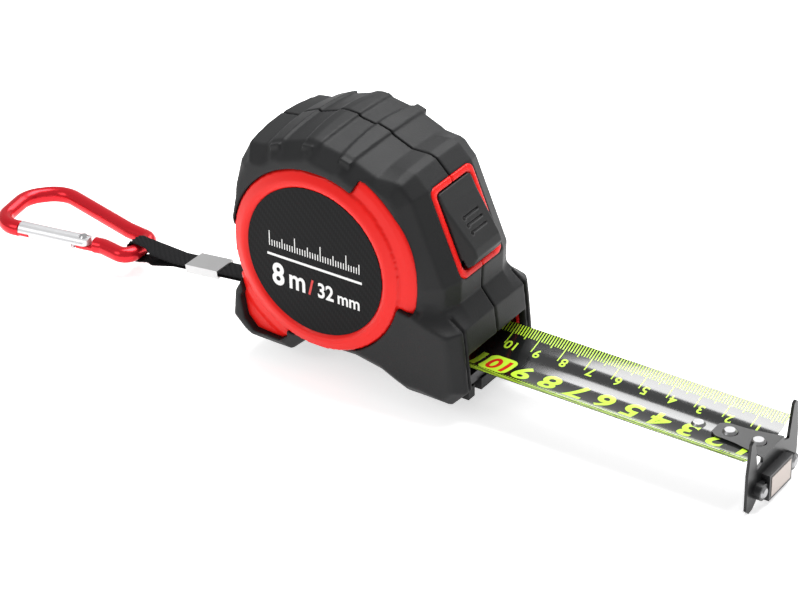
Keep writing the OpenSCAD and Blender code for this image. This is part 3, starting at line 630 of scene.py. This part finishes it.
def lettering(text, height, thick, weight, widen):
    """Points (mm) and faces of flat lettering centred on the origin, up along y."""
    curve = bpy.data.curves.new("lettering", "FONT")
    curve.body = text
    curve.align_x, curve.align_y = "CENTER", "CENTER"
    curve.offset = weight
    curve.extrude = 0.5
    curve.resolution_u = 5
    holder = bpy.data.objects.new("lettering", curve)
    bpy.context.scene.collection.objects.link(holder)
    bpy.context.view_layer.update()
    depsgraph = bpy.context.evaluated_depsgraph_get()
    mesh = bpy.data.meshes.new_from_object(holder.evaluated_get(depsgraph))
    bpy.data.objects.remove(holder)
    work = bmesh.new()
    work.from_mesh(mesh)
    bmesh.ops.remove_doubles(work, verts=work.verts, dist=1e-5)
    low = min(v.co.y for v in work.verts)
    high = max(v.co.y for v in work.verts)
    scale = height / (high - low)
    middle = (min(v.co.x for v in work.verts) + max(v.co.x for v in work.verts)) / 2
    for v in work.verts:
        v.co = ((v.co.x - middle) * scale * widen, (v.co.y - (low + high) / 2) * scale,
                (v.co.z + 0.5) * thick)
    cut_across(work, -height / 2 + 0.6, height / 2)
    bmesh.ops.triangulate(work, faces=[f for f in work.faces if len(f.verts) > 4])
    work.to_mesh(mesh)
    work.free()
    return mesh_data(mesh)


def moved(data, place, turn=0.0):
    """Lettering or ticks turned by degrees about z and moved, still flat, in mm."""
    points, faces = data
    c, s = math.cos(math.radians(turn)), math.sin(math.radians(turn))
    spun = np.column_stack([points[:, 0] * c - points[:, 1] * s,
                            points[:, 0] * s + points[:, 1] * c, points[:, 2]])
    return spun + np.array([place[0], place[1], 0.0]), faces


def joined(parts):
    """Several shapes as the points and faces of one."""
    points, faces, count = [], [], 0
    for part_points, part_faces in parts:
        points.append(part_points)
        faces += [[i + count for i in face] for face in part_faces]
        count += len(part_points)
    return np.vstack(points), faces


def bar_shape(x0, x1, y0, y1, thick):
    """Points (mm) and faces of a flat bar, up from z = 0."""
    points = np.array([(x, y, z) for z in (0, thick) for x, y in
                       ((x0, y0), (x1, y0), (x1, y1), (x0, y1))], float)
    return points, [[3, 2, 1, 0], [4, 5, 6, 7], [0, 1, 5, 4], [1, 2, 6, 5], [2, 3, 7, 6],
                    [3, 0, 4, 7]]


LABEL_INK = 0.03                                          # thickness of the print
white_ink = grained("white_ink", (0.78, 0.78, 0.77), 0.45, depth=0.02, patch=0.03)
red_ink = grained("red_ink", (0.60, 0.012, 0.01), 0.4, depth=0.02, patch=0.03)
for hand, sign in (("left", -1), ("right", 1)):
    on_node(f"label_{hand}", film)
    face_y = abs(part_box(f"label_{hand}")[0 if sign < 0 else 1][1]) / MM
    white = [
        moved(ticks(white_ink, Count=36, Pitch=1.0, Width=0.34, Short=2.2, Middle=3.6, Long=5.4,
                    Thick=LABEL_INK), (-17.5, 1.0)),
        bar_shape(-18.5, 18.5, -2.6, -1.7, LABEL_INK),
        moved(lettering("8", 8.4, LABEL_INK, 0.03, 0.86), (-14.4, -9.0)),
        moved(lettering("m", 5.2, LABEL_INK, 0.02, 0.86), (-6.9, -10.2)),
        moved(lettering("32", 5.6, LABEL_INK, 0.024, 0.86), (4.3, -9.9)),
        moved(lettering("mm", 3.2, LABEL_INK, 0.018, 0.9), (13.2, -11.0))]
    red = [moved(bar_shape(-0.4, 0.4, -3.0, 3.0, LABEL_INK), (-1.5, -9.9), -14)]
    for ink, parts, material in (("white", white, white_ink), ("red", red, red_ink)):
        points, faces = joined(parts)
        place = np.column_stack([-sign * points[:, 0], sign * (face_y + points[:, 2]),
                                 points[:, 1] + axis_h])
        print_piece = new_piece(f"label_print_{ink}_{hand}", place * MM, faces, material, False)
        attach(print_piece, "case")


# ---------------------------------------------------------------------------
# Fixings and inner pieces of the case: steel shaft, nylon washers, four screws
# from the right side, the strap's pin, the slide bed and buffer in the mouth,
# and the leaf that clicks into the lock. The housing halves hold them all.
# ---------------------------------------------------------------------------

bright_steel = grained("bright_steel", (0.62, 0.62, 0.63), 0.26, size=1400, depth=0.05,
                       metallic=1.0, patch=0.1)
black_plastic = grained("black_plastic", (0.012, 0.012, 0.013), 0.4, depth=0.08)
nylon = grained("nylon", (0.7, 0.69, 0.64), 0.5, depth=0.05)
for node, material, slot_name, bevel in (
        ("spool_shaft", bright_steel, "bright_steel", 0.15),
        ("spool_washers", nylon, "nylon", 0.08),
        ("case_screws", bright_steel, "bright_steel", 0.08),
        ("strap_pin", bright_steel, "bright_steel", 0.15),
        ("mouth_guide", black_plastic, "black_plastic", 0.25),
        ("hook_bumper", rubber, "rubber_grip", 0.4),
        ("detent_spring", bright_steel, "spring_steel", 0.03)):
    on_node(node, material, bevel)


# ---------------------------------------------------------------------------
# Spool: black plastic drum and cover, the wound blade and the flat mainspring.
# They turn on the shaft inside the housing.
# ---------------------------------------------------------------------------

spring_steel = grained("spring_steel", (0.42, 0.44, 0.47), 0.3, size=900, depth=0.04,
                       metallic=1.0, patch=0.1)
wound = finish("wound_blade", (0.02, 0.02, 0.02), 0.3, coat=0.3)
tree = wound.node_tree
rings = tree.nodes.new("ShaderNodeTexWave")
rings.wave_type = "RINGS"
rings.rings_direction = "Y"
rings.inputs["Scale"].default_value = 900
tree.links.new(object_pattern(tree, "coil_centre", (0, 0, -axis_h * MM)), rings.inputs["Vector"])
two_tone(tree, rings.outputs["Fac"], (0.01, 0.01, 0.01), (0.3, 0.4, 0.04))
for node, material, slot_name, bevel in (
        ("drum", black_plastic, "black_plastic", 0.2),
        ("drum_cover", black_plastic, "black_plastic", 0.2),
        ("tape_coil", wound, "blade_print", 0),
        ("mainspring", spring_steel, "spring_steel", 0)):
    on_node(node, material, bevel)


# ---------------------------------------------------------------------------
# Lock: a dark rubbery thumb button that slides down inside the red frame, with
# a raised rest, a steep near side and three short cross grooves, and the arm
# below it that comes down on the blade.
# ---------------------------------------------------------------------------

button_box = np.array(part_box("lock_button")) / MM - (0, 0, axis_h)
BUTTON_CELL = 0.3
b_low = button_box[0] - (2, 2, 3)
bx, by, bz = grid(b_low, button_box[1] + (3, 2, 2), BUTTON_CELL)
bs = (bx - lock_top[0]) * math.sin(lock_lean) - (bz - lock_top[1]) * math.cos(lock_lean)
bn = (bx - lock_top[0]) * math.cos(lock_lean) + (bz - lock_top[1]) * math.sin(lock_lean)
cap_end = BAND + 0.3                                      # clear of the red band
profile = [(cap_end, -3.2), (cap_end, 0.55), (8, 1.1), (16, 2.9), (23.6, 4.7), (26.4, 4.6),
           (28.3, 2.6), (28.6, 1.1), (27.4, 0.75), (25.6, 0.6), (25.6, -3.2)]
button_d = outline_field(profile, bs, bn)
cap_hw = LOCK_HW - cap_end
near = (-by - cap_hw + 0.62 * np.clip(bn - 0.5, 0, 9)) / 1.1
far = (by - cap_hw + 0.3 * np.clip(bn - 0.5, 0, 9)) / 1.03
button_d = smooth_max(smooth_max(button_d, near, 0.7), far, 0.8)
button_d = smooth_max(button_d, rounded_frame(cap_hw, cap_end, 33, 1.6, bs, np.abs(by)), 0.4)
plate_d = np.maximum(np.maximum(1.4 - bs, bs - 27.2),
                     np.maximum(np.abs(by) - LOCK_HW + 1.2, np.maximum(bn + 3.1, -4.6 - bn)))
button_d = smooth_min(button_d, plate_d, 0.3)
for groove_s in (13.4, 16.0, 18.6):
    top_n = np.interp(groove_s, (8, 16, 23.6), (1.1, 2.9, 4.7))
    cut = np.hypot(bs - groove_s, np.maximum(np.abs(by - 0.6) - 4.0, 0)) - 0.36
    bulb = np.hypot(bs - groove_s - 0.3, by + 3.4) - 0.66
    cut = np.maximum(smooth_min(cut, bulb, 0.4), top_n - 0.7 - bn)
    button_d = smooth_max(button_d, -cut, 0.3)
button_rubber = grained("button_rubber", (0.0105, 0.0108, 0.0112), 0.54, size=1700, depth=0.15,
                        patch=0.12, specular=0.34)
button = field_piece("lock_button_cap", button_d, b_low, BUTTON_CELL, button_rubber)
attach(button, "lock")
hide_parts("lock_button")
on_node("lock_tongue", black_plastic, 0.2)


# ---------------------------------------------------------------------------
# Blade: sprung steel strip, hollow across its width, with a glossy black face
# and lime print: millimetre ticks on both edges, large figures on the near
# half and small ones on the far half. The length near the case runs into it.
# ---------------------------------------------------------------------------

BLADE_R, BLADE_T = 36.0, 0.15
strip_start, blade_end = blade_box[0][0] / MM, blade_box[1][0] / MM
lead_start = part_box("blade_lead")[0][0] / MM
blade_hw = BLADE_R * math.asin(blade_box[1][1] / MM / (BLADE_R + BLADE_T))  # along the curve
centre_z = blade_box[0][2] / MM + BLADE_R + BLADE_T
zero_x = blade_end + 0.7                                  # where the scale starts, at the hook


def on_blade(points):
    """Bends flat points (x, distance across, height), in mm, on to the blade; in metres."""
    angle = points[:, 1] / BLADE_R
    radius = BLADE_R - points[:, 2]
    return np.column_stack([points[:, 0], radius * np.sin(angle),
                            centre_z - radius * np.cos(angle)]) * MM


def face_outward(piece):
    """Turns a closed mesh's faces outward."""
    work = bmesh.new()
    work.from_mesh(piece.data)
    bmesh.ops.recalc_face_normals(work, faces=work.faces)
    work.to_mesh(piece.data)
    work.free()


def tube_faces(rows, n, closed=False):
    """Faces between rows of n points each; a closed tube joins its last row to its first."""
    return [[i * n + j, i * n + (j + 1) % n, (i + 1) % rows * n + (j + 1) % n,
             (i + 1) % rows * n + j] for i in range(rows if closed else rows - 1) for j in range(n)]


def blade_sheet(name, x0, x1, material):
    """A closed curved strip of the blade from x0 to x1."""
    along, across = 40, 32                                # number of facets each way
    section = [(v, 0.0) for v in np.linspace(-blade_hw, blade_hw, across + 1)]
    section += [(v, -BLADE_T) for v in np.linspace(blade_hw, -blade_hw, across + 1)]
    n = len(section)
    points = np.array([(x, v, h) for x in np.linspace(x0, x1, along + 1) for v, h in section])
    faces = tube_faces(along + 1, n)
    for first in (0, along * n):                          # the two cut ends
        faces += [[first + i, first + i + 1, first + n - 2 - i, first + n - 1 - i]
                  for i in range(across)]
    piece = new_piece(name, on_blade(points), faces, material)
    face_outward(piece)
    piece.data.set_sharp_from_angle(angle=math.radians(40))
    return piece


def lime_slab(x0, x1, y0, y1):
    """Points (mm) and faces of a printed block with round corners."""
    points, faces = bar_shape(x0, x1, y0, y1, INK)
    mesh = bpy.data.meshes.new("slab")
    mesh.from_pydata(points.tolist(), [], faces)
    work = bmesh.new()
    work.from_mesh(mesh)
    corners = [e for e in work.edges if abs(e.verts[0].co.z - e.verts[1].co.z) > INK / 2]
    bmesh.ops.bevel(work, geom=corners, offset=2.2, segments=5, affect="EDGES", profile=0.5)
    cut_across(work, y0 + 0.3, y1 - 0.9)
    work.to_mesh(mesh)
    work.free()
    return mesh_data(mesh)


def mark_starts(points, faces):
    """The rear end of the mark that each point belongs to; joined faces are one mark."""
    group = np.arange(len(points))
    before = None
    while before is None or (before != group).any():
        before = group.copy()
        for f in faces:
            group[f] = group[f].min()
    starts = np.full(len(points), np.inf)
    np.minimum.at(starts, group, points[:, 0])
    return starts[group]


gloss_black = grained("blade_black", (0.007, 0.0075, 0.0075), 0.12, size=420, depth=0.002,
                      patch=0.05, coat=1.0, specular=0.3)
lime_ink = grained("lime_ink", (0.50, 0.78, 0.04), 0.24, size=900, depth=0.02, patch=0.05,
                   coat=0.6)
figure_red = grained("figure_red", (0.58, 0.02, 0.01), 0.25, depth=0.02, patch=0.03, coat=0.6)
INK = 0.03                                                # thickness of the print
lime_parts, red_parts = [], []
for edge, sign, short, middle, long in ((-blade_hw, 1, 4.2, 4.2, 4.2), (blade_hw, -1, 4.0, 5.0, 9.2)):
    points, faces = ticks(lime_ink, Count=int(zero_x - lead_start) - 1, First=1, Pitch=-1.0,
                          Width=0.42, Short=short, Middle=middle, Long=long, Thick=INK)
    points = np.column_stack([zero_x - 1 + points[:, 0], edge + sign * (0.1 + points[:, 1]),
                              points[:, 2]])
    lime_parts.append((points, [f[::-1] for f in faces] if sign < 0 else faces))
for cm in range(1, int((zero_x - lead_start) / 10) + 1):
    line_x = zero_x - 10 * cm
    if cm % 10:
        lime_parts.append(moved(lettering(str(cm), 9.8, INK, 0.028, 0.98),
                                (line_x + 4.6, -5.6), 180))
    else:
        lime_parts.append(lime_slab(line_x + 0.2, line_x + 10.2, -11.3, 0.1))
        points, faces = moved(lettering(str(cm), 8.4, INK, 0.03, 0.78), (line_x + 5.2, -5.6), 180)
        red_parts.append((points + np.array([0, 0, INK * 0.9]), faces))
    lime_parts.append(moved(lettering(str(cm), 3.9, INK, 0.02, 0.95), (line_x + 2.4, 6.6), 180))

for part, x0, x1 in (("strip", strip_start, blade_end), ("lead", lead_start, strip_start)):
    sheet = blade_sheet(f"blade_{part}_face", x0, x1, gloss_black)
    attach(sheet, "blade")
    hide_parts(f"blade_{part}")
    pieces = [sheet]
    for ink, parts, material in (("lime", lime_parts, lime_ink), ("red", red_parts, figure_red)):
        points, faces = joined(parts)
        # a mark stays whole: it belongs to the strip when all of it is past the strip's start
        on_strip = mark_starts(points, faces) >= strip_start
        kept = [f for f in faces if on_strip[f[0]] == (part == "strip")]
        if not kept:
            continue
        keep_ids = sorted({i for f in kept for i in f})
        new_id = {old: new for new, old in enumerate(keep_ids)}
        marks = new_piece(f"blade_{part}_print_{ink}", on_blade(points[keep_ids]),
                          [[new_id[i] for i in f] for f in kept], material, False)
        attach(marks, "blade")
        pieces.append(marks)
    if part == "lead":
        for piece in pieces:
            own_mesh(piece)
rivet_steel = grained("rivet_steel", (0.30, 0.30, 0.305), 0.36, size=900, depth=0.12,
                      metallic=0.9, patch=0.2)
on_node("blade_rivets", rivet_steel, 0.15)


# ---------------------------------------------------------------------------
# Hook: black steel plate with two horns above and two tines below the blade,
# its tongue riveted on top of the blade with a little free play, and a moulded
# holder on the front with the block magnet and two rivets.
# ---------------------------------------------------------------------------

black_steel = grained("black_hook", (0.009, 0.0091, 0.0096), 0.3, size=1500, depth=0.03,
                      patch=0.1, metallic=0.35)
plated = grained("plated_magnet", (0.42, 0.37, 0.34), 0.45, size=700, depth=0.03, metallic=0.6,
                 patch=0.1)
for node, material, slot_name, bevel in (
        ("hook_plate", black_steel, "black_hook", 0.28),
        ("magnet_holder", black_plastic, "black_plastic", 0.4),
        ("magnet", plated, "magnet_plating", 0.35),
        ("magnet_rivets", rivet_steel, "bright_steel", 0.2)):
    on_node(node, material, bevel)


# ---------------------------------------------------------------------------
# Lanyard strap: one loop of black ribbed webbing round the pin in the case and
# round the narrow end of the carabiner, closed by a pressed steel sleeve.
# ---------------------------------------------------------------------------

joints = {j["name"]: j for j in frame["joints"]}
eye = [v / MM for v in joints["carabiner_swing"]["pos_m"]]
pin = [v / MM for v in joints["lanyard_swing"]["pos_m"]]
strap_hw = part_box("strap")[1][1] / MM
STRAP_T, WIRE_R, PIN_R = 1.0, eye[2], (pin_box[1][2] - pin_box[0][2]) / 2 / MM
# The loop is laid out along s from the pin to the carabiner, with n across its two runs
strap_l = math.hypot(eye[0] - pin[0], eye[2] - pin[2])
lean = math.atan2(pin[2] - eye[2], pin[0] - eye[0])
pin_loop, eye_loop = PIN_R + 0.15 + STRAP_T / 2, WIRE_R + 0.28 + STRAP_T / 2
flat_n = 0.06 + STRAP_T / 2                               # the runs lie this far off the middle
RUN_FROM, RUN_TO = 6, 46                                  # where the two runs meet and part
loop = [(pin_loop * math.cos(a), pin_loop * math.sin(a))
        for a in np.radians(np.linspace(104, 256, 15))]
loop += [(s, -flat_n) for s in np.linspace(RUN_FROM, RUN_TO, 90)]
# the turn round the carabiner, and the runs that part to reach it
turn = [(strap_l + eye_loop * math.cos(a), eye_loop * math.sin(a))
        for a in np.radians(np.linspace(-100, 100, 40))]
sweep = [(RUN_TO + (turn[0][0] - RUN_TO) * t, -flat_n + (turn[0][1] + flat_n) * t)
         for t in np.linspace(0.03, 0.97, 34)]
loop += sweep + turn + [(s, -n) for s, n in sweep[::-1]]
loop += [(s, flat_n) for s in np.linspace(RUN_TO, RUN_FROM, 90)]
path = np.array(loop)
ahead = np.roll(path, -1, 0) - np.roll(path, 1, 0)
ahead /= np.linalg.norm(ahead, axis=1)[:, None]
outward = np.column_stack([ahead[:, 1], -ahead[:, 0]])
travelled = np.concatenate([[0], np.cumsum(np.linalg.norm(np.diff(path, axis=0), axis=1))])
low_w, high_w = 1.75, 4.2                                 # pinched between the carabiner's arms
squeeze = np.clip((path[:, 0] - (strap_l - 10)) / 6, 0, 1)
squeeze = squeeze * squeeze * (3 - 2 * squeeze)
RIB, SLANT = 2.2, 0.9                                     # pitch and slope of the webbing's ribs
section = [(v, 1) for v in np.linspace(-1, 1, 35)] + [(v, -1) for v in np.linspace(1, -1, 35)]
points = []
for at, out, reach, pinch in zip(path, outward, travelled, squeeze):
    y0 = -strap_hw + (strap_hw - low_w) * pinch
    y1 = strap_hw - (strap_hw - high_w) * pinch
    for v, face in section:
        y = (y0 + y1) / 2 + v * (y1 - y0) / 2
        rib = 0.5 + 0.5 * math.sin(2 * math.pi * (reach - SLANT * v * strap_hw) / RIB)
        round_off = 1 - abs(v) ** 7
        s, n = at + out * face * ((STRAP_T * (0.08 + 0.36 * rib) + 0.04) * round_off + 0.1)
        points.append((pin[0] - s * math.cos(lean) + n * math.sin(lean), y,
                       pin[2] - s * math.sin(lean) - n * math.cos(lean)))
faces = tube_faces(len(path), len(section), closed=True)
webbing = finish("webbing", (0.012, 0.012, 0.013), 0.85, specular=0.12)
tree = webbing.node_tree
height = woven(tree, object_pattern(tree, "weave_place"), 0.0005)[1]
# the weave's height also sets the colour: painted shade in the gaps between threads, lighter on their
# crests
two_tone(tree, height, (0.003, 0.003, 0.0033), (0.03, 0.03, 0.032))
bump = tree.nodes.new("ShaderNodeBump")
bump.inputs["Distance"].default_value = 0.0002
bump.inputs["Strength"].default_value = 0.6
tree.links.new(height, bump.inputs["Height"])
tree.links.new(bump.outputs["Normal"], tree.nodes["Principled BSDF"].inputs["Normal"])
strap = new_piece("strap_webbing", np.array(points) * MM, faces, webbing)
face_outward(strap)
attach(strap, "lanyard")
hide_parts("strap")
sleeve_steel = grained("sleeve_steel", (0.50, 0.50, 0.50), 0.36, size=1100, depth=0.04,
                       metallic=0.8, patch=0.1)
on_node("strap_crimp", sleeve_steel, 0.35)


# ---------------------------------------------------------------------------
# Carabiner: a bent bar of red anodised aluminium, with a plain aluminium gate
# half-lapped on to its two ends, the gate's rivet and its small spring.
# ---------------------------------------------------------------------------

# Corners of the bar's centre line: x and y from the eye, and the radius of the bend, in mm
bar_corners = [(-15.06, -5.19, 0), (-11.5, -4.5, 5), (0, -6.2, 3.8), (0, 8.2, 3.8), (-11, 9.4, 8),
               (-47.5, 18.4, 11), (-56.8, 8.5, 10), (-53.5, -12.1, 8), (-43.9, -10.4, 0)]


def capped_tube(rows, n):
    """Faces of a tube of rows of n points, closed at both ends."""
    return tube_faces(rows, n) + [list(range(n)), list(range((rows - 1) * n, rows * n))]


def filleted(corners, step=1.2):
    """Centre line from corners (x, y, radius), as points at most about a step apart."""
    points = [Vector(corners[0][:2])]
    for i in range(1, len(corners) - 1):
        before, at, after = (Vector(corners[i + k][:2]) for k in (-1, 0, 1))
        into, out = (at - before).normalized(), (after - at).normalized()
        bend = math.atan2(into.x * out.y - into.y * out.x, into.dot(out))
        radius = corners[i][2]
        start = at - into * radius * math.tan(abs(bend) / 2)
        turn_side = math.copysign(1, bend)
        middle = start + turn_side * radius * Vector((-into.y, into.x))
        steps = max(3, math.ceil(abs(math.degrees(bend)) / 5))
        base = math.atan2(into.y, into.x)
        for k in range(steps + 1):
            angle = base + bend * k / steps
            points.append(middle + turn_side * radius * Vector((math.sin(angle), -math.cos(angle))))
    points.append(Vector(corners[-1][:2]))
    fine_points = [points[0]]
    for a, b in zip(points, points[1:]):
        pieces_n = max(1, round((b - a).length / step))
        fine_points += [a.lerp(b, (k + 1) / pieces_n) for k in range(pieces_n)]
    return fine_points


centre_line = filleted(bar_corners)
SIDES, EASE = 32, 0.35                                    # facets round the bar, eased edge
last = len(centre_line) - 1
rounds = []                                               # point, direction, radius
for i, p in enumerate(centre_line):
    a, b = centre_line[max(i - 1, 0)], centre_line[min(i + 1, last)]
    ahead = (b - a).normalized()
    if i in (0, last):
        inward = ahead if i == 0 else -ahead
        pair = [(p, ahead, WIRE_R - EASE), (p + inward * EASE, ahead, WIRE_R)]
        rounds += pair if i == 0 else pair[::-1]
    else:
        rounds.append((p, ahead, WIRE_R))
points = []
for p, ahead, r in rounds:
    for k in range(SIDES):
        a = 2 * math.pi * k / SIDES
        points.append((eye[0] + p.x - r * math.cos(a) * ahead.y,
                       p.y + r * math.cos(a) * ahead.x, eye[2] + r * math.sin(a)))
bar_data = (np.array(points), capped_tube(len(rounds), SIDES))


def half_bar(start, direction, length):
    """The lower half of a slimmer round bar, from start along direction: a lapped end."""
    points = []
    angles = np.radians(np.linspace(180, 360, 17))
    rows = [(0, 0), (length - 0.5, 0), (length, 0.5)]     # reach, and how much slimmer
    for reach, less in rows:
        for a in angles:
            r = WIRE_R - 0.25 - less
            points.append((eye[0] + start.x + direction.x * reach - r * math.cos(a) * direction.y,
                           start.y + direction.y * reach + r * math.cos(a) * direction.x,
                           eye[2] + min(r * math.sin(a), -0.1)))
    return np.array(points), capped_tube(len(rows), len(angles))


ends = Vector(bar_corners[0][:2]), Vector(bar_corners[-1][:2])
gate_dir = (ends[1] - ends[0]).normalized()
LAP = 0.8                                                 # each lapped end starts inside the bar
tongues = [half_bar(ends[0] - gate_dir * LAP, gate_dir, 4 + WIRE_R + LAP),
           half_bar(ends[1] + gate_dir * LAP, -gate_dir, 4.1 + LAP)]
anodised = grained("red_anodised", (0.62, 0.010, 0.020), 0.24, size=1800, depth=0.03,
                   metallic=0.6, patch=0.08)
points, faces = joined([bar_data] + tongues)
body = new_piece("carabiner_bar", points * MM, faces, anodised)
face_outward(body)
body.data.set_sharp_from_angle(angle=math.radians(40))
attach(body, "carabiner")
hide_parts("carabiner_body")
aluminium = grained("plain_aluminium", (0.66, 0.66, 0.67), 0.36, size=1300, depth=0.04,
                    metallic=0.7, patch=0.1)
for node, material, slot_name, bevel in (
        ("gate_pin", bright_steel, "bright_steel", 0.12),
        ("carabiner_gate", aluminium, "plain_aluminium", 0.15),
        ("gate_spring", spring_steel, "spring_steel", 0)):
    on_node(node, material, bevel)
